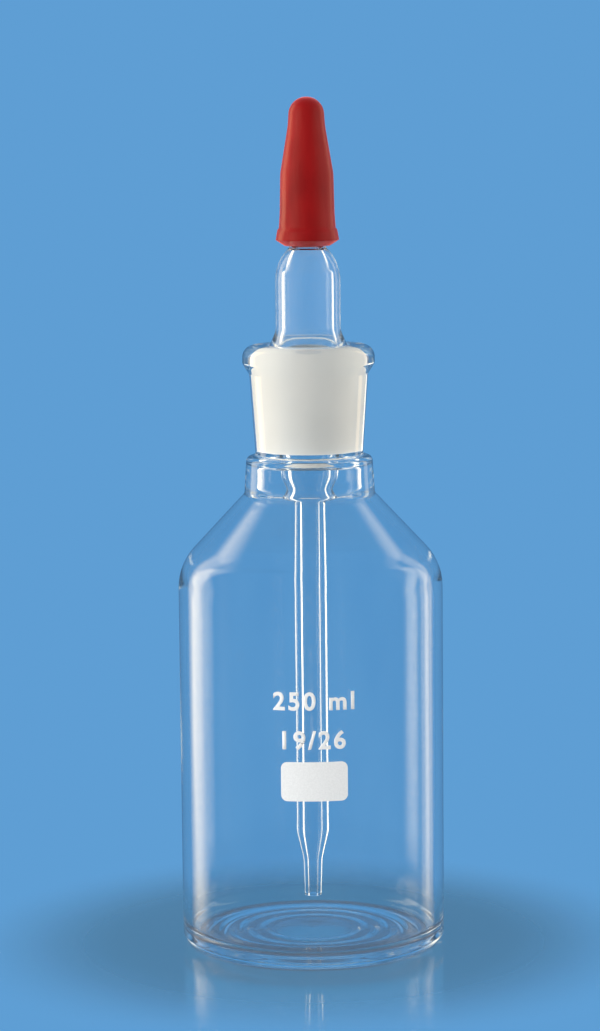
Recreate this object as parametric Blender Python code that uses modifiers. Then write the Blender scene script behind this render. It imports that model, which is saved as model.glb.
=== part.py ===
"""Dropper bottle: a glass bottle with a ground socket, a pipette stopper that stands in it, and a rubber teat.

Run it with blender --background --python part.py, or from Blender's text editor. Each piece is a turned
shape about +Z, and the bottle stands on z = 0. Sizes below are in millimetres, and turned() makes them metres.
"""

import math

import bpy
from mathutils import Vector

MM = 0.001
TURN_STEPS = 40
ARC_STEP = math.radians(30)  # the most that one straight piece of a rounded corner turns
MERGE_DISTANCE = 0.00001

# Bottle body
BODY_R = 32.0
BODY_WALL = 2.0
SHOULDER_ANGLE = math.radians(46.8)  # the cone's slope above the horizontal
SHOULDER_ROUND = 14.0
SHOULDER_INNER_ROUND = 8.0
BASE_ROUND = 3.0
FOOT_INNER_R = 26.0  # the flat ring that the bottle stands on ends here
PUSH_UP_R = 20.0
PUSH_UP = 1.8  # how far the middle of the base stands clear of the table
FLOOR_Z = 2.8
FLOOR_RISE = 0.3  # how far the middle of the floor stands above its edge
FLOOR_MIDDLE_R = 8.0
FLOOR_EDGE_R = 24.0

# Collar and neck
COLLAR_R = 15.75
COLLAR_TOP_R = 15.2
COLLAR_BASE_Z = 110.3
COLLAR_TOP_Z = 119.4
COLLAR_BORE_R = 12.0
NECK_TOP_R = 14.3
NECK_BASE_R = 12.95
RIM_R = 15.9
RIM_TOP_Z = 146.1
RIM_DEPTH = 7.0
RIM_WAIST = 2.6  # height over which the rim's underside runs in to the neck

# Ground joint: a 1 in 10 taper, 18.8 mm across at its large end and 26 mm long
JOINT_LARGE_R = 9.4
JOINT_LENGTH = 26.0
JOINT_TAPER = 0.05  # loss of radius for each millimetre downwards
JOINT_TOP_Z = 145.1
JOINT_SMALL_R = JOINT_LARGE_R - JOINT_TAPER * JOINT_LENGTH
JOINT_BASE_Z = JOINT_TOP_Z - JOINT_LENGTH
GAP = 0.3  # clearance that neighbouring pieces keep

# Pipette stopper
HEAD_R = 7.8
HEAD_WALL = 1.9
HEAD_SHOULDER_Z = 166.0
HEAD_FLARE_Z = 149.4
HEAD_FOOT_Z = 145.9
NOZZLE_R = 4.3
HEAD_FILL = 2.6  # how much lower the inside of the head starts to close in than its outside
NOZZLE_BORE_R = 2.2
NOZZLE_TOP_Z = 185.0
CONE_BORE_R = 6.0
CONE_BORE_TOP_R = 7.1
FLARE_R = 7.0
FLARE_BORE_R = 4.5
FLARE_Z = 114.2
TUBE_TOP_Z = 107.3
TUBE_WAIST_R = 3.7
WAIST_LENGTH = 18.0
TUBE_R = 4.0
TUBE_BORE_R = 2.0
TAPER_TOP_Z = 27.3
TAPER_BASE_Z = 20.3
TIP_R = 2.02
TIP_BORE_R = 0.9
TIP_Z = 11.0

# Rubber teat
TEAT_TOP_Z = 205.1
TEAT_R = 6.55
TEAT_WALL = 1.6
TEAT_TOP_R = 4.05
TEAT_TOP_ROUND = 4.2
TEAT_NECK_R = 4.4
TEAT_NECK_Z = 198.5
TEAT_SHOULDER_R = 6.35
TEAT_SHOULDER_Z = 187.0
TEAT_WAIST_Z = 177.6
BAND_TOP_Z = 174.0
BAND_TOP_R = 6.8
BAND_STEP = 0.35
BAND_R = 7.6
BAND_BASE_Z = 171.2
LIP_R = 5.4
LIP_Z = 169.8
TEAT_BORE_R = NOZZLE_R + GAP


def rounded(corners, closed=False):
    """A profile through corners of (radius, height, rounding), with an arc in place of each rounded corner."""
    points = []
    count = len(corners)
    for index, (radius, height, rounding) in enumerate(corners):
        corner = Vector((radius, height))
        at_end = not closed and index in (0, count - 1)
        if at_end or rounding == 0:
            points.append(corner)
            continue
        before = (Vector(corners[index - 1][:2]) - corner).normalized()
        after = (Vector(corners[(index + 1) % count][:2]) - corner).normalized()
        turn = math.pi - before.angle(after)
        centre = corner + (before + after).normalized() * rounding / math.cos(turn / 2)
        start = corner + before * rounding * math.tan(turn / 2) - centre
        side = 1 if before.cross(after) < 0 else -1
        steps = max(1, math.ceil(turn / ARC_STEP))
        for step in range(steps + 1):
            angle = side * turn * step / steps
            cos, sin = math.cos(angle), math.sin(angle)
            points.append(centre + Vector((start.x * cos - start.y * sin, start.x * sin + start.y * cos)))
    return points


def turned(name, profile, seat_z, material, collection, parent=None, closed=False):
    """An object turned about +Z from a profile of (radius, height), with its origin on the axis at seat_z."""
    mesh = bpy.data.meshes.new(name)
    edges = [(index, index + 1) for index in range(len(profile) - 1)]
    if closed:
        edges.append((len(profile) - 1, 0))
    mesh.from_pydata([(radius * MM, 0, (height - seat_z) * MM) for radius, height in profile], edges, [])
    mesh.materials.append(material)
    piece = bpy.data.objects.new(name, mesh)
    collection.objects.link(piece)
    screw = piece.modifiers.new("Turn", "SCREW")
    screw.axis = "Z"
    screw.steps = TURN_STEPS
    screw.render_steps = TURN_STEPS
    screw.use_merge_vertices = True
    screw.merge_threshold = MERGE_DISTANCE
    screw.use_smooth_shade = True
    piece.location.z = seat_z * MM
    if parent:
        piece.parent = parent
        piece.location.z -= parent.matrix_world.translation.z
    bpy.context.view_layer.update()
    return piece


def principled(name, colour, roughness, transmission=0.0):
    material = bpy.data.materials.new(name)
    material.use_nodes = True
    shader = material.node_tree.nodes["Principled BSDF"]
    shader.inputs["Base Color"].default_value = (*colour, 1)
    shader.inputs["Roughness"].default_value = roughness
    shader.inputs["Metallic"].default_value = 0
    shader.inputs["Transmission Weight"].default_value = transmission
    return material


def bottle_profile():
    """The bottle from the middle of its floor, up the inside, over the rim and down the outside to its base."""
    inner_r = BODY_R - BODY_WALL
    slope = math.tan(SHOULDER_ANGLE)
    socket_top_r = JOINT_LARGE_R + GAP + JOINT_TAPER * (RIM_TOP_Z - JOINT_TOP_Z)
    outer_corner_z = COLLAR_BASE_Z - (BODY_R - COLLAR_R) * slope
    inner_drop = BODY_WALL / math.cos(SHOULDER_ANGLE)
    inner_corner_z = outer_corner_z + BODY_WALL * slope - inner_drop
    throat_z = COLLAR_BASE_Z + (COLLAR_R - COLLAR_BORE_R) * slope - inner_drop
    socket_base_r = JOINT_SMALL_R + GAP
    inside = [
        (0, FLOOR_Z + FLOOR_RISE, 0),
        (FLOOR_MIDDLE_R, FLOOR_Z + FLOOR_RISE, 30.0),
        (FLOOR_EDGE_R, FLOOR_Z, 30.0),
        (inner_r, FLOOR_Z, 3.5),
        (inner_r, inner_corner_z, SHOULDER_INNER_ROUND),
        (COLLAR_BORE_R, throat_z, 3.0),
        (COLLAR_BORE_R, JOINT_BASE_Z - 1.6, 1.6),
        (socket_base_r, JOINT_BASE_Z - 0.5, 0.4),
        (socket_top_r, RIM_TOP_Z, 0.4),
    ]
    outside = [
        (RIM_R, RIM_TOP_Z, 2.9),
        (RIM_R, RIM_TOP_Z - RIM_DEPTH + RIM_WAIST, 1.0),
        (NECK_TOP_R, RIM_TOP_Z - RIM_DEPTH, 0.4),
        (NECK_BASE_R, COLLAR_TOP_Z, 0.6),
        (COLLAR_TOP_R, COLLAR_TOP_Z, 1.4),
        (COLLAR_R, COLLAR_BASE_Z, 1.2),
        (BODY_R, outer_corner_z, SHOULDER_ROUND),
        (BODY_R, 0, BASE_ROUND),
        (FOOT_INNER_R, 0, 0),
        (PUSH_UP_R, PUSH_UP - 0.3, 8.0),
        (0, PUSH_UP, 0),
    ]
    return rounded(inside + outside)


def stopper_profile():
    """The stopper and its pipette as one closed ring: down the outside from the nozzle's top, and back up the bore."""
    shoulder_run = HEAD_R - NOZZLE_R
    inner_r = HEAD_R - HEAD_WALL
    outside = [
        (NOZZLE_R, NOZZLE_TOP_Z, 0.8),
        (NOZZLE_R, HEAD_SHOULDER_Z + shoulder_run, 1.0),
        (HEAD_R, HEAD_SHOULDER_Z, 11.0),
        (HEAD_R, HEAD_FLARE_Z, 5.0),
        (JOINT_LARGE_R, HEAD_FOOT_Z, 0.4),
        (JOINT_LARGE_R, JOINT_TOP_Z, 0),
        (JOINT_SMALL_R, JOINT_BASE_Z, 0.6),
        (FLARE_R, JOINT_BASE_Z - 1.0, 0.6),
        (FLARE_R, FLARE_Z, 4.0),
        (TUBE_WAIST_R, TUBE_TOP_Z, 3.0),
        (TUBE_R, TUBE_TOP_Z - WAIST_LENGTH, 0),
        (TUBE_R, TAPER_TOP_Z, 6.0),
        (TIP_R + 0.28, TAPER_BASE_Z, 7.0),
        (TIP_R, TIP_Z, 0.5),
    ]
    inside = [
        (TIP_BORE_R, TIP_Z, 0.3),
        (TIP_BORE_R + 0.15, TAPER_BASE_Z, 7.0),
        (TUBE_BORE_R, TAPER_TOP_Z, 6.0),
        (TUBE_BORE_R, TUBE_TOP_Z, 3.0),
        (FLARE_BORE_R, FLARE_Z, 3.0),
        (FLARE_BORE_R, JOINT_BASE_Z - 0.6, 2.0),
        (CONE_BORE_R, JOINT_BASE_Z + 4.0, 3.0),
        (CONE_BORE_TOP_R, JOINT_TOP_Z - 0.5, 5.0),
        (inner_r, HEAD_FLARE_Z + 0.8, 4.0),
        (inner_r, HEAD_SHOULDER_Z - HEAD_FILL, 2.5),
        (NOZZLE_BORE_R, HEAD_SHOULDER_Z + shoulder_run + 0.8, 2.0),
        (NOZZLE_BORE_R, NOZZLE_TOP_Z, 0.6),
    ]
    return rounded(outside + inside, closed=True)


def teat_profile():
    """The teat from its tip, down the outside to the lip, and up the bore and the air chamber to the inner tip."""
    chamber_r = TEAT_R - TEAT_WALL
    inner_top_z = TEAT_TOP_Z - TEAT_WALL
    inner_neck_r = TEAT_NECK_R - TEAT_WALL + 0.1
    return rounded(
        [
            (0, TEAT_TOP_Z, 0),
            (TEAT_TOP_R, TEAT_TOP_Z, TEAT_TOP_ROUND),
            (TEAT_NECK_R, TEAT_NECK_Z, 25.0),
            (TEAT_SHOULDER_R, TEAT_SHOULDER_Z, 9.0),
            (TEAT_R, TEAT_WAIST_Z, 8.0),
            (BAND_TOP_R, BAND_TOP_Z, 0),
            (BAND_TOP_R + BAND_STEP, BAND_TOP_Z - BAND_STEP, 0),
            (BAND_R, BAND_BASE_Z, 0.25),
            (LIP_R, LIP_Z, 0.3),
            (TEAT_BORE_R, LIP_Z, 0.2),
            (TEAT_BORE_R, TEAT_SHOULDER_Z, 0.3),
            (chamber_r, TEAT_SHOULDER_Z + 1.0, 0.5),
            (inner_neck_r, TEAT_NECK_Z, 20.0),
            (TEAT_TOP_R - TEAT_WALL, inner_top_z, 1.9),
            (0, inner_top_z, 0),
        ]
    )


def clear_scene():
    for existing in list(bpy.data.objects):
        bpy.data.objects.remove(existing, do_unlink=True)


def build():
    clear_scene()
    parts = bpy.data.collections.new("dropper_bottle")
    bpy.context.scene.collection.children.link(parts)
    clear_glass = principled("clear_glass", (0.86, 0.93, 0.97), 0.02, transmission=1.0)
    stopper_glass = principled("stopper_glass", (0.88, 0.92, 0.92), 0.08, transmission=0.9)
    red_rubber = principled("red_rubber", (0.42, 0.012, 0.016), 0.5)
    bottle = turned("bottle", bottle_profile(), 0, clear_glass, parts)
    stopper = turned("pipette_stopper", stopper_profile(), JOINT_TOP_Z, stopper_glass, parts, bottle, closed=True)
    turned("rubber_teat", teat_profile(), LIP_Z, red_rubber, parts, stopper)


build()
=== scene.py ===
"""Looks of the dropper bottle: fine glass, its ground joint, the enamel marks and the rubber teat, in a
plain studio.

Shapes are in millimetres, as in the part itself, and become metres in turned() and wrapped(). The camera
and the light panels are placed in metres.
"""

import math

import bmesh
import bpy
from mathutils import Matrix, Vector, noise


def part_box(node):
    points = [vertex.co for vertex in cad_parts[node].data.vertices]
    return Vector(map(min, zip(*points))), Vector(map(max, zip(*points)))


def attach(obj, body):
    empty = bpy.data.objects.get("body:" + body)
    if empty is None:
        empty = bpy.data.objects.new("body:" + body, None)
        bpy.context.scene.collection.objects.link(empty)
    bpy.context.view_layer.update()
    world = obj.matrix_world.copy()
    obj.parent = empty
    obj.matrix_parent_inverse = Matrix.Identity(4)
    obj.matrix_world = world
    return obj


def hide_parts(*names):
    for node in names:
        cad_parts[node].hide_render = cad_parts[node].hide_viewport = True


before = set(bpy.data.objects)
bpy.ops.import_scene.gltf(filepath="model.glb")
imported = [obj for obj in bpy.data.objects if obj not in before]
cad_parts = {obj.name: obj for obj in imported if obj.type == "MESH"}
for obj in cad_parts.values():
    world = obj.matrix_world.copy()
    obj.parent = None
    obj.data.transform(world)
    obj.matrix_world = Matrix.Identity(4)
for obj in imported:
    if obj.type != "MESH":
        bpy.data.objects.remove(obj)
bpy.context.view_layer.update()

MM = 0.001

# Fineness of the meshes
TURN_STEPS = 144
ARC_STEP = math.radians(7)
LONGEST_STEP = 0.8
WELD = 0.001  # points closer than this are joined

# Places read from the frame, in millimetres
_, BOTTLE_HIGH = (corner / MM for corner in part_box("bottle"))
STOPPER_LOW, STOPPER_HIGH = (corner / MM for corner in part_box("pipette_stopper"))
TEAT_LOW, TEAT_HIGH = (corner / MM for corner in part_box("rubber_teat"))
BODY_R = BOTTLE_HIGH.x
RIM_TOP_Z = BOTTLE_HIGH.z
TIP_Z = STOPPER_LOW.z
NOZZLE_TOP_Z = STOPPER_HIGH.z
LIP_Z = TEAT_LOW.z
TEAT_TOP_Z = TEAT_HIGH.z

# Bottle body
BODY_WALL = 2.0
SHOULDER_ANGLE = math.radians(46.8)
SHOULDER_ROUND = 14.0
SHOULDER_INNER_ROUND = 8.0
BASE_ROUND = 3.0
FOOT_INNER_R = 26.0
PUSH_UP_R = 20.0
PUSH_UP = 1.8
FLOOR_Z = 2.8
FLOOR_RISE = 0.3
FLOOR_MIDDLE_R = 8.0
FLOOR_EDGE_R = 24.0
INNER_WAVE = 0.12  # how far the blown inner wall wanders from a true cylinder
WAVE_WIDTH = 22.0
WAVE_HEIGHT = 45.0
WAVE_INNER_R = 0.5 * BODY_R  # inside it are the neck and the middle of the floor, which stay true
WAVE_BASE_Z = FLOOR_Z + 1
WALL_SLACK = 0.01  # allows for rounding in the mesh
MOULD_RING_MIDDLE_R = 10.6
MOULD_RING_STEP = 4.8
MOULD_RING_DEPTH = 0.2
MOULD_RING_LOW_Z = 0.3  # below it is the flat ring that the bottle stands on
MOULD_RING_HIGH_Z = FLOOR_Z - 0.5  # above it is the upper face of the floor

# Collar and neck
COLLAR_R = 15.75
COLLAR_TOP_R = 15.2
COLLAR_BASE_Z = 110.3
COLLAR_TOP_Z = 119.4
COLLAR_BORE_R = 12.0
NECK_TOP_R = 14.3
NECK_BASE_R = 12.95
RIM_R = 15.9
RIM_DEPTH = 7.0
RIM_WAIST = 2.6

# Ground joint
JOINT_LARGE_R = 9.4
JOINT_LENGTH = 26.0
JOINT_TAPER = 0.05
JOINT_TOP_Z = 145.1
JOINT_SMALL_R = JOINT_LARGE_R - JOINT_TAPER * JOINT_LENGTH
JOINT_BASE_Z = JOINT_TOP_Z - JOINT_LENGTH
GAP = 0.3
GROUND_BASE_Z = JOINT_BASE_Z + 1.6  # the ground faces stop a little short of the joint's small end
GROUND_TOP_Z = RIM_TOP_Z - 2.6  # and of the rim
GROUND_SLACK = 0.1  # allows for the middles of flat faces lying off the round surface

# Pipette stopper
HEAD_R = 7.8
HEAD_WALL = 1.9
HEAD_SHOULDER_Z = 166.0
HEAD_FLARE_Z = 149.4
HEAD_FOOT_Z = 145.9
NOZZLE_R = 4.3
HEAD_FILL = 2.6  # how much lower the inside of the head starts to close in than its outside
NOZZLE_BORE_R = 2.2
CONE_BORE_R = 6.0
CONE_BORE_TOP_R = 7.1
FLARE_R = 7.0
FLARE_BORE_R = 4.5
FLARE_Z = 114.2
TUBE_TOP_Z = 107.3
TUBE_WAIST_R = 3.7
WAIST_LENGTH = 18.0
TUBE_R = 4.0
TUBE_BORE_R = 2.0
TAPER_TOP_Z = 27.3
TAPER_BASE_Z = 20.3
TIP_R = 2.02
TIP_BORE_R = 0.9

# Rubber teat
TEAT_R = 6.55
TEAT_WALL = 1.6
TEAT_TOP_R = 4.05
TEAT_TOP_ROUND = 4.2
TEAT_NECK_R = 4.4
TEAT_NECK_Z = 198.5
TEAT_SHOULDER_R = 6.35
TEAT_SHOULDER_Z = 187.0
TEAT_WAIST_Z = 177.6
BAND_TOP_Z = 174.0
BAND_TOP_R = 6.8
BAND_STEP = 0.35
BAND_R = 7.6
BAND_BASE_Z = 171.2
LIP_R = 5.4
TEAT_BORE_R = NOZZLE_R + GAP

# Enamel marks on the front of the body
ENAMEL_LIFT = 0.01
ENAMEL_DEPTH = 0.05
ENAMEL_CUT = 0.5  # width of the flat facets that follow the round wall
PATCH_WIDTH = 15.8
PATCH_HEIGHT = 9.35
PATCH_ROUND = 1.5
PATCH_Z = 45.9
PATCH_CORNER_STEPS = 8
LETTER_HEIGHT = 4.3
FIGURE_SHARE = 0.73  # height of a figure as a share of the typeface's size
LETTER_WEIGHT = 0.16
LETTER_SPACING = 1.22
LETTER_CURVE_STEPS = 6
MARKS_ASIDE = 0.4  # the marks stand this far to the right of the middle
CAPACITY_Z = 63.0
JOINT_SIZE_Z = 53.75

# Tones and optics of the materials. A pair of tones is the darkest and the lightest of a cloudy surface.
CLOUD_LOW, CLOUD_HIGH = 0.35, 0.65  # most of the noise lies between these values
GLASS_IOR = 1.473
CLEAREST = (0.97, 0.97, 0.97)  # what one surface lets through where the glass is thinnest
GLASS_DEPTH_TONE = (0.45, 0.70, 0.80)  # what is left of white light after a long way inside the wall
GLASS_DEPTH_DENSITY = 6
CLEAR_SHARE = 0.96
GROUND_TONES = ((0.86, 0.84, 0.79), (0.93, 0.91, 0.86))
GROUND_LIT_THROUGH = (0.93, 0.90, 0.85)
GROUND_SHARE = 0.45
RUBBER_TONES = ((0.19, 0.003, 0.004), (0.25, 0.004, 0.005))
RUBBER_GLOSS = (1.0, 0.36, 0.28)
RUBBER_BLOOM = (1.0, 0.16, 0.10)
ENAMEL_TONES = ((0.65, 0.67, 0.69), (0.70, 0.72, 0.74))

# Table
TABLE = (0.07, 0.21, 0.40)
TABLE_R = 600.0
TABLE_FADE_START_R = 45.0
TABLE_FADE_END_R = 90.0
TABLE_GLOSS = (1.0, 0.86, 0.72)
TABLE_ROUGHNESS = 0.06
TABLE_IOR = 1.8
# Painted contact shadow: the table's colour in a ring under the foot, where the bottle's shade falls
PAINTED_SHADOW_UNDER_BOTTLE = (0.10, 0.12, 0.17)
SHADE_MIDDLE_R = 20.0  # painted contact shadow: the table is darkest in a ring under the foot
SHADE_HALF_WIDTH = 10.0
SHADE_SOFT_EDGE = 4.0

# Light and surroundings
BACKDROP = (0.114, 0.342, 0.658)
ROOM = (0.055, 0.15, 0.30)
FILL = (1.0, 0.98, 0.94)
AMBIENT = 0.33
# Each glow has a bearing, in degrees from the camera's side towards the right, and a brightness
GLOWS = ((-66, 6.0), (82, 3.7), (180, 4.5))
GLOW_POWER = 6
GLOW_RISE = 0.1
LAMP_COLOUR = (1.0, 0.78, 0.46)
# Each panel has a name, bearing, distance, width and height, height of its middle, brightness and soft edge
PANELS = (
    ("left_strip", -118, 0.6, (0.34, 1.30), 0.25, 3.5, 0.7),
    ("right_strip", 121, 0.6, (0.20, 1.30), 0.25, 1.9, 0.6),
    ("right_side", 96, 0.6, (0.28, 1.10), 0.20, 0.2, 0.8),
)
LIGHT_BOUNCES = 256
CLEAR_BOUNCES = 24

# Camera
CAMERA_DISTANCE = 0.750
CAMERA_HEIGHT = 0.200
CAMERA_ASIDE = -0.0024
CAMERA_PITCH = math.radians(7.24)
CAMERA_ROLL = math.radians(0.55)
FIELD_OF_VIEW = math.radians(18.73)


def rounded(corners, closed=False):
    """A profile through corners of (radius, height, rounding), with an arc for each rounded corner."""
    points = []
    count = len(corners)
    for index, (radius, height, rounding) in enumerate(corners):
        corner = Vector((radius, height))
        at_end = not closed and index in (0, count - 1)
        if at_end or rounding == 0:
            points.append(corner)
            continue
        before = (Vector(corners[index - 1][:2]) - corner).normalized()
        after = (Vector(corners[(index + 1) % count][:2]) - corner).normalized()
        turn = math.pi - before.angle(after)
        centre = corner + (before + after).normalized() * rounding / math.cos(turn / 2)
        start = corner + before * rounding * math.tan(turn / 2) - centre
        side = 1 if before.cross(after) < 0 else -1
        steps = max(2, math.ceil(turn / ARC_STEP))
        for step in range(steps + 1):
            angle = side * turn * step / steps
            cos, sin = math.cos(angle), math.sin(angle)
            points.append(centre + Vector((start.x * cos - start.y * sin, start.x * sin + start.y * cos)))
    return points


def resampled(points, closed=False):
    """The same profile with its long straight stretches cut up, so that smooth shading stays true."""
    fine = []
    stretches = list(zip(points, points[1:] + points[:1]))
    if not closed:
        stretches.pop()
    for start, end in stretches:
        cuts = max(1, math.ceil((end - start).length / LONGEST_STEP))
        fine += [start.lerp(end, cut / cuts) for cut in range(cuts)]
    return fine if closed else fine + [points[-1]]


def turned(name, profile, materials, zone=None, shape=None, closed=False):
    """A smooth object turned about +Z. zone picks a material by radius and height. shape moves a point."""
    points = resampled(profile, closed)
    form = bmesh.new()
    ring = [form.verts.new((radius, 0, height)) for radius, height in points]
    pairs = list(zip(ring, ring[1:] + ring[:1]))
    if not closed:
        pairs.pop()
    edges = [form.edges.new(pair) for pair in pairs]
    bmesh.ops.spin(
        form, geom=ring + edges, axis=(0, 0, 1), angle=math.tau, steps=TURN_STEPS, use_merge=True
    )
    bmesh.ops.remove_doubles(form, verts=form.verts, dist=WELD)
    bmesh.ops.recalc_face_normals(form, faces=form.faces)
    for face in form.faces:
        face.smooth = True
        if zone:
            middle = face.calc_center_median()
            face.material_index = zone(middle.xy.length, middle.z)
    if shape:
        for vert in form.verts:
            vert.co = shape(vert.co)
    bmesh.ops.scale(form, vec=(MM, MM, MM), verts=form.verts)
    mesh = bpy.data.meshes.new(name)
    form.to_mesh(mesh)
    form.free()
    for material in materials:
        mesh.materials.append(material)
    piece = bpy.data.objects.new(name, mesh)
    bpy.context.scene.collection.objects.link(piece)
    return piece


# Materials


def new_material(name):
    """A material with a Principled shader, and its node tree, shader and output."""
    material = bpy.data.materials.new(name)
    material.use_nodes = True
    tree = material.node_tree
    return material, tree, tree.nodes["Principled BSDF"], tree.nodes["Material Output"]


def add_noise(tree, scale, detail, stretch=(1, 1, 1)):
    """Noise over the object's own space, with scale in cycles for each metre and a stretch on each axis."""
    place = tree.nodes.new("ShaderNodeTexCoord")
    mapping = tree.nodes.new("ShaderNodeMapping")
    mapping.inputs["Scale"].default_value = stretch
    texture = tree.nodes.new("ShaderNodeTexNoise")
    texture.inputs["Scale"].default_value = scale
    texture.inputs["Detail"].default_value = detail
    tree.links.new(place.outputs["Object"], mapping.inputs["Vector"])
    tree.links.new(mapping.outputs["Vector"], texture.inputs["Vector"])
    return texture.outputs["Fac"]


def add_ramp(tree, value, low, high):
    """A colour that runs from low, where value is CLOUD_LOW, to high, where it is CLOUD_HIGH."""
    ramp = tree.nodes.new("ShaderNodeValToRGB")
    ramp.color_ramp.elements[0].position = CLOUD_LOW
    ramp.color_ramp.elements[0].color = (*low, 1)
    ramp.color_ramp.elements[1].position = CLOUD_HIGH
    ramp.color_ramp.elements[1].color = (*high, 1)
    tree.links.new(value, ramp.inputs["Fac"])
    return ramp.outputs["Color"]


def add_range(tree, value, low, high):
    """value, which runs from 0 to 1, as a number from low to high."""
    spread = tree.nodes.new("ShaderNodeMapRange")
    spread.inputs["To Min"].default_value = low
    spread.inputs["To Max"].default_value = high
    tree.links.new(value, spread.inputs["Value"])
    return spread.outputs["Result"]


def add_bump(tree, shader, value, depth, under=None):
    """Relief on the shader, with depth in metres. under is a coarser relief below this one."""
    bump = tree.nodes.new("ShaderNodeBump")
    bump.inputs["Distance"].default_value = depth
    bump.inputs["Strength"].default_value = 1
    tree.links.new(value, bump.inputs["Height"])
    if under:
        tree.links.new(under, bump.inputs["Normal"])
    tree.links.new(bump.outputs["Normal"], shader.inputs["Normal"])
    return bump.outputs["Normal"]


def let_light_through(tree, shader, output, share):
    """Lets this share of the light past the surface unbent, so that what stands behind the glass is lit."""
    path = tree.nodes.new("ShaderNodeLightPath")
    clear = tree.nodes.new("ShaderNodeBsdfTransparent")
    clear.inputs["Color"].default_value = (share, share, share, 1)
    for ray in ("Is Diffuse Ray", "Is Shadow Ray"):
        mix = tree.nodes.new("ShaderNodeMixShader")
        tree.links.new(path.outputs[ray], mix.inputs["Fac"])
        tree.links.new(shader, mix.inputs[1])
        tree.links.new(clear.outputs["BSDF"], mix.inputs[2])
        shader = mix.outputs["Shader"]
    tree.links.new(shader, output.inputs["Surface"])


def glass(name, tint, ripple_scale, ripple_stretch, ripple_depth, softness=0.02):
    """Borosilicate glass with the faint ripple and streaks of blown or drawn glass. softness is its
    greatest roughness."""
    material, tree, shader, output = new_material(name)
    shader.inputs["Transmission Weight"].default_value = 1
    shader.inputs["IOR"].default_value = GLASS_IOR
    ripple = add_noise(tree, ripple_scale, 2.0, ripple_stretch)
    tree.links.new(add_ramp(tree, ripple, tint, CLEAREST), shader.inputs["Base Color"])
    tree.links.new(add_range(tree, ripple, softness / 3, softness), shader.inputs["Roughness"])
    add_bump(tree, shader, ripple, ripple_depth)
    absorb = tree.nodes.new("ShaderNodeVolumeAbsorption")
    absorb.inputs["Color"].default_value = (*GLASS_DEPTH_TONE, 1)
    absorb.inputs["Density"].default_value = GLASS_DEPTH_DENSITY
    tree.links.new(absorb.outputs["Volume"], output.inputs["Volume"])
    let_light_through(tree, shader.outputs["BSDF"], output, CLEAR_SHARE)
    return material


def ground_glass(name):
    """The ground faces of the joint: white, softly lit through, with the fine grain of the abrasive."""
    material, tree, shader, output = new_material(name)
    shader.inputs["Roughness"].default_value = 0.75
    shader.inputs["Specular IOR Level"].default_value = 0.2
    cloud = add_noise(tree, 90, 3.0)
    tree.links.new(add_ramp(tree, cloud, *GROUND_TONES), shader.inputs["Base Color"])
    add_bump(tree, shader, add_noise(tree, 9000, 2.0), 0.00004)
    lit_through = tree.nodes.new("ShaderNodeBsdfTranslucent")
    lit_through.inputs["Color"].default_value = (*GROUND_LIT_THROUGH, 1)
    mix = tree.nodes.new("ShaderNodeMixShader")
    mix.inputs["Fac"].default_value = 0.45
    tree.links.new(shader.outputs["BSDF"], mix.inputs[1])
    tree.links.new(lit_through.outputs["BSDF"], mix.inputs[2])
    let_light_through(tree, mix.outputs["Shader"], output, GROUND_SHARE)
    return material


def red_rubber(name):
    """Moulded natural rubber, with a dusty bloom, cloudy colour and faint flow lines up its sides."""
    material, tree, shader, _ = new_material(name)
    shader.inputs["Specular IOR Level"].default_value = 0.5
    shader.inputs["Specular Tint"].default_value = (*RUBBER_GLOSS, 1)
    shader.inputs["Sheen Weight"].default_value = 1.0
    shader.inputs["Sheen Roughness"].default_value = 0.35
    shader.inputs["Sheen Tint"].default_value = (*RUBBER_BLOOM, 1)
    cloud = add_noise(tree, 160, 5.0, (1, 1, 0.5))
    tree.links.new(add_ramp(tree, cloud, *RUBBER_TONES), shader.inputs["Base Color"])
    tree.links.new(add_range(tree, cloud, 0.26, 0.36), shader.inputs["Roughness"])
    flow = add_bump(tree, shader, add_noise(tree, 420, 2.0, (1, 1, 0.12)), 0.00012)
    add_bump(tree, shader, add_noise(tree, 5200, 3.0), 0.00003, under=flow)
    return material


def enamel(name):
    """White enamel fired onto the glass, with a slightly uneven screen-printed skin."""
    material, tree, shader, _ = new_material(name)
    shader.inputs["Specular IOR Level"].default_value = 0.4
    speck = add_noise(tree, 2600, 4.0)
    tree.links.new(add_ramp(tree, speck, *ENAMEL_TONES), shader.inputs["Base Color"])
    tree.links.new(add_range(tree, speck, 0.35, 0.6), shader.inputs["Roughness"])
    add_bump(tree, shader, speck, 0.00001)
    return material


# Shapes of the glass


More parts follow.
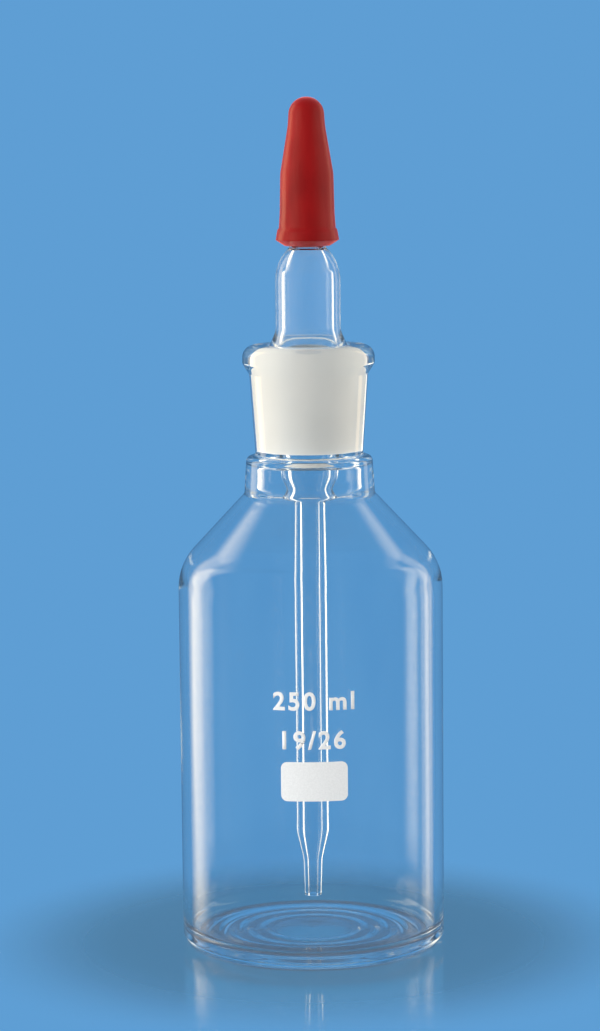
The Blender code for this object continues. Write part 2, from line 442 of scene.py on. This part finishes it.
def bottle_profile():
    """The bottle from the middle of its floor, up the inside, over the rim and down the outside."""
    inner_r = BODY_R - BODY_WALL
    slope = math.tan(SHOULDER_ANGLE)
    socket_top_r = JOINT_LARGE_R + GAP + JOINT_TAPER * (RIM_TOP_Z - JOINT_TOP_Z)
    outer_corner_z = COLLAR_BASE_Z - (BODY_R - COLLAR_R) * slope
    inner_drop = BODY_WALL / math.cos(SHOULDER_ANGLE)
    inner_corner_z = outer_corner_z + BODY_WALL * slope - inner_drop
    throat_z = COLLAR_BASE_Z + (COLLAR_R - COLLAR_BORE_R) * slope - inner_drop
    inside = [
        (0, FLOOR_Z + FLOOR_RISE, 0),
        (FLOOR_MIDDLE_R, FLOOR_Z + FLOOR_RISE, 30.0),
        (FLOOR_EDGE_R, FLOOR_Z, 30.0),
        (inner_r, FLOOR_Z, 3.5),
        (inner_r, inner_corner_z, SHOULDER_INNER_ROUND),
        (COLLAR_BORE_R, throat_z, 3.0),
        (COLLAR_BORE_R, JOINT_BASE_Z - 1.6, 1.6),
        (JOINT_SMALL_R + GAP, JOINT_BASE_Z - 0.5, 0.4),
        (socket_top_r, RIM_TOP_Z, 0.4),
    ]
    outside = [
        (RIM_R, RIM_TOP_Z, 2.9),
        (RIM_R, RIM_TOP_Z - RIM_DEPTH + RIM_WAIST, 1.0),
        (NECK_TOP_R, RIM_TOP_Z - RIM_DEPTH, 0.4),
        (NECK_BASE_R, COLLAR_TOP_Z, 0.6),
        (COLLAR_TOP_R, COLLAR_TOP_Z, 1.4),
        (COLLAR_R, COLLAR_BASE_Z, 1.2),
        (BODY_R, outer_corner_z, SHOULDER_ROUND),
        (BODY_R, 0, BASE_ROUND),
        (FOOT_INNER_R, 0, 0.6),
        (PUSH_UP_R, PUSH_UP - 0.3, 8.0),
        (0, PUSH_UP, 0),
    ]
    return rounded(inside + outside)


def bottle_zone(radius, height):
    """1 on the ground bore of the socket and 0 on the clear glass."""
    in_bore = radius < JOINT_LARGE_R + GAP + GROUND_SLACK
    return int(in_bore and GROUND_BASE_Z < height < GROUND_TOP_Z)


def bottle_shape(point):
    """Blown glass: the body's inner wall wanders a little, and the mould leaves rings under the base."""
    radius = point.xy.length
    under_base = MOULD_RING_LOW_Z < point.z < MOULD_RING_HIGH_Z
    if under_base and MOULD_RING_MIDDLE_R < radius < FOOT_INNER_R:
        wave = math.sin((radius - MOULD_RING_MIDDLE_R) / MOULD_RING_STEP * math.tau)
        return Vector((point.x, point.y, point.z + MOULD_RING_DEPTH * wave))
    on_inner_wall = WAVE_INNER_R <= radius <= BODY_R - BODY_WALL + WALL_SLACK
    if not on_inner_wall or point.z < WAVE_BASE_Z:
        return point
    wave = noise.noise(Vector((point.x / WAVE_WIDTH, point.y / WAVE_WIDTH, point.z / WAVE_HEIGHT)))
    return point + Vector((point.x, point.y, 0)) / radius * INNER_WAVE * wave


def stopper_profile():
    """The stopper and its pipette as one closed ring: down the outside from the nozzle, and up the bore."""
    shoulder_run = HEAD_R - NOZZLE_R
    inner_r = HEAD_R - HEAD_WALL
    outside = [
        (NOZZLE_R, NOZZLE_TOP_Z, 0.8),
        (NOZZLE_R, HEAD_SHOULDER_Z + shoulder_run, 1.0),
        (HEAD_R, HEAD_SHOULDER_Z, 11.0),
        (HEAD_R, HEAD_FLARE_Z, 5.0),
        (JOINT_LARGE_R, HEAD_FOOT_Z, 0.4),
        (JOINT_LARGE_R, JOINT_TOP_Z, 0),
        (JOINT_SMALL_R, JOINT_BASE_Z, 0.6),
        (FLARE_R, JOINT_BASE_Z - 1.0, 0.6),
        (FLARE_R, FLARE_Z, 4.0),
        (TUBE_WAIST_R, TUBE_TOP_Z, 3.0),
        (TUBE_R, TUBE_TOP_Z - WAIST_LENGTH, 0),
        (TUBE_R, TAPER_TOP_Z, 6.0),
        (TIP_R + 0.28, TAPER_BASE_Z, 7.0),
        (TIP_R, TIP_Z, 0.5),
    ]
    inside = [
        (TIP_BORE_R, TIP_Z, 0.3),
        (TIP_BORE_R + 0.15, TAPER_BASE_Z, 7.0),
        (TUBE_BORE_R, TAPER_TOP_Z, 6.0),
        (TUBE_BORE_R, TUBE_TOP_Z, 3.0),
        (FLARE_BORE_R, FLARE_Z, 3.0),
        (FLARE_BORE_R, JOINT_BASE_Z - 0.6, 2.0),
        (CONE_BORE_R, JOINT_BASE_Z + 4.0, 3.0),
        (CONE_BORE_TOP_R, JOINT_TOP_Z - 0.5, 5.0),
        (inner_r, HEAD_FLARE_Z + 0.8, 4.0),
        (inner_r, HEAD_SHOULDER_Z - HEAD_FILL, 2.5),
        (NOZZLE_BORE_R, HEAD_SHOULDER_Z + shoulder_run + 0.8, 2.0),
        (NOZZLE_BORE_R, NOZZLE_TOP_Z, 0.6),
    ]
    return rounded(outside + inside, closed=True)


def stopper_zone(radius, height):
    """2 on the blown head, 1 on the ground cone and 0 on the drawn glass of the pipette."""
    if height > JOINT_TOP_Z:
        return 2
    on_cone = radius > JOINT_SMALL_R - GROUND_SLACK
    return int(on_cone and GROUND_BASE_Z < height < GROUND_TOP_Z)


# Shape of the teat


def teat_profile():
    """The teat from its tip, down the outside to the lip, and up the bore and the air chamber."""
    chamber_r = TEAT_R - TEAT_WALL
    inner_top_z = TEAT_TOP_Z - TEAT_WALL
    inner_neck_r = TEAT_NECK_R - TEAT_WALL + 0.1
    return rounded(
        [
            (0, TEAT_TOP_Z, 0),
            (TEAT_TOP_R, TEAT_TOP_Z, TEAT_TOP_ROUND),
            (TEAT_NECK_R, TEAT_NECK_Z, 25.0),
            (TEAT_SHOULDER_R, TEAT_SHOULDER_Z, 9.0),
            (TEAT_R, TEAT_WAIST_Z, 8.0),
            (BAND_TOP_R, BAND_TOP_Z, 0),
            (BAND_TOP_R + BAND_STEP, BAND_TOP_Z - BAND_STEP, 0),
            (BAND_R, BAND_BASE_Z, 0.25),
            (LIP_R, LIP_Z, 0.3),
            (TEAT_BORE_R, LIP_Z, 0.2),
            (TEAT_BORE_R, TEAT_SHOULDER_Z, 0.3),
            (chamber_r, TEAT_SHOULDER_Z + 1.0, 0.5),
            (inner_neck_r, TEAT_NECK_Z, 20.0),
            (TEAT_TOP_R - TEAT_WALL, inner_top_z, 1.9),
            (0, inner_top_z, 0),
        ]
    )


# Shapes of the enamel marks


def wrapped(name, outline, base_z, material):
    """A curve object's flat filled shape, laid on the front of the body as a thin raised skin."""
    flat = bpy.data.meshes.new_from_object(outline.evaluated_get(bpy.context.evaluated_depsgraph_get()))
    bpy.data.objects.remove(outline)
    form = bmesh.new()
    form.from_mesh(flat)
    bpy.data.meshes.remove(flat)
    bmesh.ops.remove_doubles(form, verts=form.verts, dist=WELD)
    widths = [vert.co.x for vert in form.verts]
    middle = (min(widths) + max(widths)) / 2
    half = (max(widths) - min(widths)) / 2
    for vert in form.verts:
        vert.co.x -= middle
    cuts = math.ceil(half / ENAMEL_CUT)
    for cut in range(-cuts, cuts + 1):
        geometry = form.verts[:] + form.edges[:] + form.faces[:]
        bmesh.ops.bisect_plane(form, geom=geometry, plane_co=(cut * ENAMEL_CUT, 0, 0), plane_no=(1, 0, 0))
    bmesh.ops.triangulate(form, faces=form.faces)
    skin = bmesh.ops.extrude_face_region(form, geom=form.faces[:])
    raised = {item for item in skin["geom"] if isinstance(item, bmesh.types.BMVert)}
    for vert in form.verts:
        radius = BODY_R + ENAMEL_LIFT + (ENAMEL_DEPTH if vert in raised else 0)
        angle = (vert.co.x + MARKS_ASIDE) / BODY_R
        vert.co = Vector((radius * math.sin(angle), -radius * math.cos(angle), base_z + vert.co.y))
    bmesh.ops.recalc_face_normals(form, faces=form.faces)
    bmesh.ops.scale(form, vec=(MM, MM, MM), verts=form.verts)
    mesh = bpy.data.meshes.new(name)
    form.to_mesh(mesh)
    form.free()
    mesh.materials.append(material)
    piece = bpy.data.objects.new(name, mesh)
    bpy.context.scene.collection.objects.link(piece)
    return piece


def rounded_patch():
    """The write-on patch as a flat outline centred on its own origin."""
    curve = bpy.data.curves.new("patch_outline", "CURVE")
    curve.dimensions = "2D"
    curve.fill_mode = "BOTH"
    half_width, half_height = PATCH_WIDTH / 2 - PATCH_ROUND, PATCH_HEIGHT / 2 - PATCH_ROUND
    corners = [
        (half_width, half_height),
        (-half_width, half_height),
        (-half_width, -half_height),
        (half_width, -half_height),
    ]
    points = []
    for quarter, (x, y) in enumerate(corners):
        for step in range(PATCH_CORNER_STEPS + 1):
            angle = (quarter + step / PATCH_CORNER_STEPS) * math.pi / 2
            points.append((x + PATCH_ROUND * math.cos(angle), y + PATCH_ROUND * math.sin(angle)))
    spline = curve.splines.new("POLY")
    spline.points.add(len(points) - 1)
    for point, (x, y) in zip(spline.points, points):
        point.co = (x, y, 0, 1)
    spline.use_cyclic_u = True
    outline = bpy.data.objects.new("patch_outline", curve)
    bpy.context.scene.collection.objects.link(outline)
    return outline


def lettering(text):
    """Plain upright figures, LETTER_HEIGHT tall, in Blender's own typeface."""
    curve = bpy.data.curves.new("letter_outline", "FONT")
    curve.body = text
    curve.align_x = "CENTER"
    curve.size = LETTER_HEIGHT / FIGURE_SHARE
    curve.offset = LETTER_WEIGHT
    curve.space_character = LETTER_SPACING
    curve.resolution_u = LETTER_CURVE_STEPS
    outline = bpy.data.objects.new("letter_outline", curve)
    bpy.context.scene.collection.objects.link(outline)
    bpy.context.view_layer.update()
    return outline


# Studio


def make_camera():
    """The camera, in front of the bottle and a little above it, tilted down and leaning very slightly."""
    data = bpy.data.cameras.new("camera")
    data.angle = FIELD_OF_VIEW
    camera = bpy.data.objects.new("camera", data)
    bpy.context.scene.collection.objects.link(camera)
    tilt = Matrix.Rotation(math.pi / 2 - CAMERA_PITCH, 4, "X")
    roll = Matrix.Rotation(-CAMERA_ROLL, 4, "Z")
    camera.matrix_world = Matrix.Translation((CAMERA_ASIDE, -CAMERA_DISTANCE, CAMERA_HEIGHT)) @ tilt @ roll
    bpy.context.scene.camera = camera


def soft_glow(name, size, brightness, edge):
    """A clear glowing surface. edge is the share of the half-width over which its brightness falls away."""
    material = bpy.data.materials.new(name)
    material.use_nodes = True
    tree = material.node_tree
    tree.nodes.remove(tree.nodes["Principled BSDF"])
    lamp = tree.nodes.new("ShaderNodeEmission")
    lamp.inputs["Color"].default_value = (*LAMP_COLOUR, 1)
    place = tree.nodes.new("ShaderNodeTexCoord")
    split = tree.nodes.new("ShaderNodeSeparateXYZ")
    tree.links.new(place.outputs["Object"], split.inputs["Vector"])
    strength = None
    for axis, span in (("X", size[0]), ("Z", size[1])):
        away = tree.nodes.new("ShaderNodeMath")
        away.operation = "ABSOLUTE"
        tree.links.new(split.outputs[axis], away.inputs[0])
        fall = tree.nodes.new("ShaderNodeMapRange")
        fall.interpolation_type = "SMOOTHSTEP"
        fall.inputs["From Min"].default_value = span / 2
        fall.inputs["From Max"].default_value = span / 2 * (1 - edge)
        fall.inputs["To Max"].default_value = 1
        tree.links.new(away.outputs["Value"], fall.inputs["Value"])
        product = tree.nodes.new("ShaderNodeMath")
        product.operation = "MULTIPLY"
        product.inputs[1].default_value = brightness
        tree.links.new(fall.outputs["Result"], product.inputs[0])
        if strength:
            tree.links.new(strength, product.inputs[1])
        strength = product.outputs["Value"]
    tree.links.new(strength, lamp.inputs["Strength"])
    clear = tree.nodes.new("ShaderNodeBsdfTransparent")
    both = tree.nodes.new("ShaderNodeAddShader")
    tree.links.new(lamp.outputs["Emission"], both.inputs[0])
    tree.links.new(clear.outputs["BSDF"], both.inputs[1])
    tree.links.new(both.outputs["Shader"], tree.nodes["Material Output"].inputs["Surface"])
    return material


def softbox(name, bearing, distance, size, height, brightness, edge):
    """A soft-edged glowing panel that faces the bottle and hides nothing behind it. bearing is in degrees
    from the camera's side towards the right."""
    form = bmesh.new()
    bmesh.ops.create_grid(form, x_segments=1, y_segments=1, size=0.5)
    bmesh.ops.rotate(form, verts=form.verts, matrix=Matrix.Rotation(math.pi / 2, 3, "X"))
    bmesh.ops.scale(form, vec=(size[0], 1, size[1]), verts=form.verts)
    mesh = bpy.data.meshes.new(name)
    form.to_mesh(mesh)
    form.free()
    mesh.materials.append(soft_glow(name, size, brightness, edge))
    panel = bpy.data.objects.new(name, mesh)
    bpy.context.scene.collection.objects.link(panel)
    angle = math.radians(bearing)
    panel.location = (distance * math.sin(angle), -distance * math.cos(angle), height)
    panel.rotation_euler.z = angle
    panel.visible_camera = False


def add_side_light(tree, direction, bearing, brightness):
    """A broad soft glow in the world, centred on a bearing, as a number for each direction."""
    angle = math.radians(bearing)
    towards = tree.nodes.new("ShaderNodeVectorMath")
    towards.operation = "DOT_PRODUCT"
    towards.inputs[1].default_value = (math.sin(angle), -math.cos(angle), GLOW_RISE)
    tree.links.new(direction, towards.inputs[0])
    facing = tree.nodes.new("ShaderNodeMath")
    facing.operation = "MAXIMUM"
    facing.inputs[1].default_value = 0
    tree.links.new(towards.outputs["Value"], facing.inputs[0])
    glow = tree.nodes.new("ShaderNodeMath")
    glow.operation = "POWER"
    glow.inputs[1].default_value = GLOW_POWER
    tree.links.new(facing.outputs["Value"], glow.inputs[0])
    scaled = tree.nodes.new("ShaderNodeMath")
    scaled.operation = "MULTIPLY"
    scaled.inputs[1].default_value = brightness
    tree.links.new(glow.outputs["Value"], scaled.inputs[0])
    return scaled.outputs["Value"]


def make_world():
    """A plain blue backdrop that glass shows from every side, a dim room for reflections, and soft glows
    from both sides and from behind."""
    world = bpy.data.worlds.new("studio")
    bpy.context.scene.world = world
    world.use_nodes = True
    tree = world.node_tree
    fill = tree.nodes["Background"]
    fill.inputs["Color"].default_value = (*FILL, 1)
    direction = tree.nodes.new("ShaderNodeTexCoord").outputs["Generated"]
    total = None
    for bearing, brightness in GLOWS:
        glow = add_side_light(tree, direction, bearing, brightness)
        both = tree.nodes.new("ShaderNodeMath")
        tree.links.new(glow, both.inputs[0])
        if total:
            tree.links.new(total, both.inputs[1])
        else:
            both.inputs[1].default_value = AMBIENT
        total = both.outputs["Value"]
    tree.links.new(total, fill.inputs["Strength"])
    path = tree.nodes.new("ShaderNodeLightPath")
    seen = tree.nodes.new("ShaderNodeMath")
    seen.operation = "MAXIMUM"
    tree.links.new(path.outputs["Is Camera Ray"], seen.inputs[0])
    tree.links.new(path.outputs["Is Transmission Ray"], seen.inputs[1])
    light = fill.outputs["Background"]
    for share, colour in ((path.outputs["Is Glossy Ray"], ROOM), (seen.outputs["Value"], BACKDROP)):
        plain = tree.nodes.new("ShaderNodeBackground")
        plain.inputs["Color"].default_value = (*colour, 1)
        mix = tree.nodes.new("ShaderNodeMixShader")
        tree.links.new(share, mix.inputs["Fac"])
        tree.links.new(light, mix.inputs[1])
        tree.links.new(plain.outputs["Background"], mix.inputs[2])
        light = mix.outputs["Shader"]
    tree.links.new(light, tree.nodes["World Output"].inputs["Surface"])


def table_top():
    """Polished blue with a painted contact shadow, a darker ring under the foot; it turns clear further
    out.
    """
    material, tree, shader, output = new_material("table")
    shader.inputs["Roughness"].default_value = TABLE_ROUGHNESS
    shader.inputs["Specular Tint"].default_value = (*TABLE_GLOSS, 1)
    shader.inputs["IOR"].default_value = TABLE_IOR
    place = tree.nodes.new("ShaderNodeTexCoord")
    length = tree.nodes.new("ShaderNodeVectorMath")
    length.operation = "LENGTH"
    tree.links.new(place.outputs["Object"], length.inputs[0])
    fade = tree.nodes.new("ShaderNodeMapRange")
    fade.interpolation_type = "SMOOTHSTEP"
    fade.inputs["From Min"].default_value = TABLE_FADE_START_R * MM
    fade.inputs["From Max"].default_value = TABLE_FADE_END_R * MM
    tree.links.new(length.outputs["Value"], fade.inputs["Value"])
    # Painted contact shadow: the table's colour darkens in a ring round SHADE_MIDDLE_R under the foot
    from_foot = tree.nodes.new("ShaderNodeMath")
    from_foot.operation = "SUBTRACT"
    from_foot.inputs[1].default_value = SHADE_MIDDLE_R * MM
    tree.links.new(length.outputs["Value"], from_foot.inputs[0])
    aside = tree.nodes.new("ShaderNodeMath")
    aside.operation = "ABSOLUTE"
    tree.links.new(from_foot.outputs["Value"], aside.inputs[0])
    shade = tree.nodes.new("ShaderNodeMapRange")
    shade.inputs["From Min"].default_value = (SHADE_HALF_WIDTH - SHADE_SOFT_EDGE) * MM
    shade.inputs["From Max"].default_value = (SHADE_HALF_WIDTH + SHADE_SOFT_EDGE) * MM
    tree.links.new(aside.outputs["Value"], shade.inputs["Value"])
    # the painted shadow tone blends into the table's own colour away from that ring
    tone = add_ramp(tree, shade.outputs["Result"], PAINTED_SHADOW_UNDER_BOTTLE, TABLE)
    tree.links.new(tone, shader.inputs["Base Color"])
    clear = tree.nodes.new("ShaderNodeBsdfTransparent")
    mix = tree.nodes.new("ShaderNodeMixShader")
    tree.links.new(fade.outputs["Result"], mix.inputs["Fac"])
    tree.links.new(shader.outputs["BSDF"], mix.inputs[1])
    tree.links.new(clear.outputs["BSDF"], mix.inputs[2])
    tree.links.new(mix.outputs["Shader"], output.inputs["Surface"])
    return material


def make_floor():
    """A small table, plain but for a painted shadow under the foot, that fades into the backdrop."""
    form = bmesh.new()
    bmesh.ops.create_circle(form, cap_ends=True, segments=96, radius=TABLE_R * MM)
    mesh = bpy.data.meshes.new("table")
    form.to_mesh(mesh)
    form.free()
    mesh.materials.append(table_top())
    table = bpy.data.objects.new("table", mesh)
    bpy.context.scene.collection.objects.link(table)


def set_rendering():
    """Enough bounces for thick glass, and no colour grading."""
    scene = bpy.context.scene
    scene.view_settings.view_transform = "Standard"
    scene.cycles.max_bounces = LIGHT_BOUNCES
    scene.cycles.glossy_bounces = LIGHT_BOUNCES
    scene.cycles.transmission_bounces = LIGHT_BOUNCES
    scene.cycles.transparent_max_bounces = CLEAR_BOUNCES
    scene.cycles.caustics_reflective = False
    scene.cycles.caustics_refractive = False


make_camera()
make_world()
make_floor()
set_rendering()
for panel in PANELS:
    softbox(*panel)

clear = glass(
    "clear_glass", (0.90, 0.935, 0.955), ripple_scale=60, ripple_stretch=(1, 1, 0.35), ripple_depth=0.00002
)
drawn = glass(
    "stopper_glass", (0.93, 0.95, 0.96), ripple_scale=120, ripple_stretch=(1, 1, 0.2), ripple_depth=0.00001
)
blown = glass(
    "blown_head_glass",
    (0.89, 0.94, 0.97),
    ripple_scale=90,
    ripple_stretch=(1, 1, 0.3),
    ripple_depth=0.00002,
    softness=0.14,
)
ground = ground_glass("ground_glass")
rubber = red_rubber("red_rubber")
white = enamel("white_enamel")

bottle = turned("bottle_glass", bottle_profile(), [clear, ground], bottle_zone, bottle_shape)
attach(bottle, "bottle")
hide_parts("bottle")

stopper = turned("pipette_glass", stopper_profile(), [drawn, ground, blown], stopper_zone, closed=True)
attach(stopper, "stopper")
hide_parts("pipette_stopper")

teat = turned("teat", teat_profile(), [rubber])
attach(teat, "teat")
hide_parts("rubber_teat")

patch = wrapped("writing_patch", rounded_patch(), PATCH_Z, white)
capacity = wrapped("capacity_mark", lettering("250 ml"), CAPACITY_Z, white)
joint_size = wrapped("joint_size_mark", lettering("19/26"), JOINT_SIZE_Z, white)
for mark in (patch, capacity, joint_size):
    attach(mark, "bottle")
